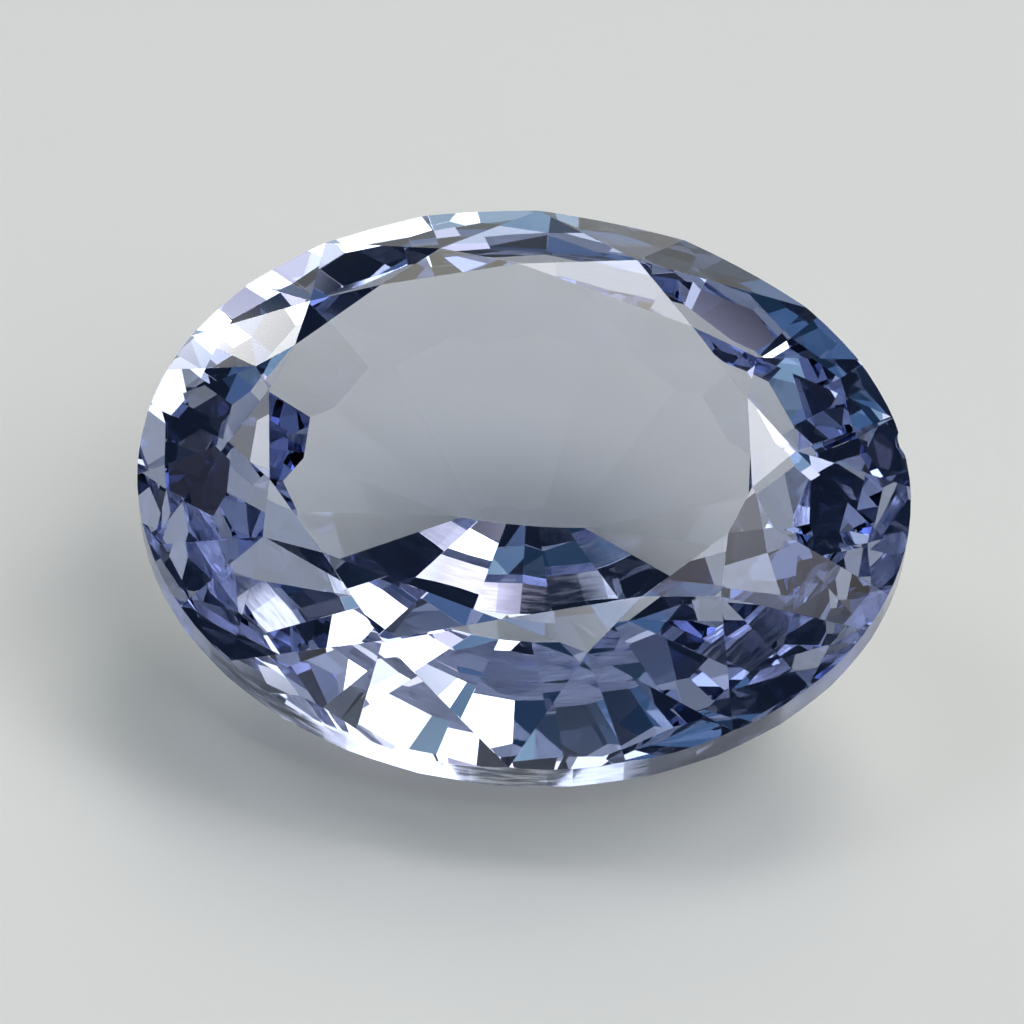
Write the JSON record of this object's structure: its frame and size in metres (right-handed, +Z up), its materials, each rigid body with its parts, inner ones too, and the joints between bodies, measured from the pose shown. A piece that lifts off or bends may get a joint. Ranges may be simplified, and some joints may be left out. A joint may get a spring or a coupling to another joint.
{
  "type": "oval cut blue sapphire",
  "caption": "Oval cut violet-blue gemstone with a large table, a faceted crown, a thick girdle and a tiered pavilion, lying on a facet of its keel.",
  "frame": {"origin": "on the resting surface, under the middle of the stone's box", "axes": "+X along the stone's length, +Y away from the side that the table leans towards, +Z up"},
  "size_m": [0.01, 0.0078, 0.0052],
  "materials": {
    "sapphire": "polished"
  },
  "bodies": {
    "root": {"sapphire": "sapphire"}
  },
  "joints": []
}
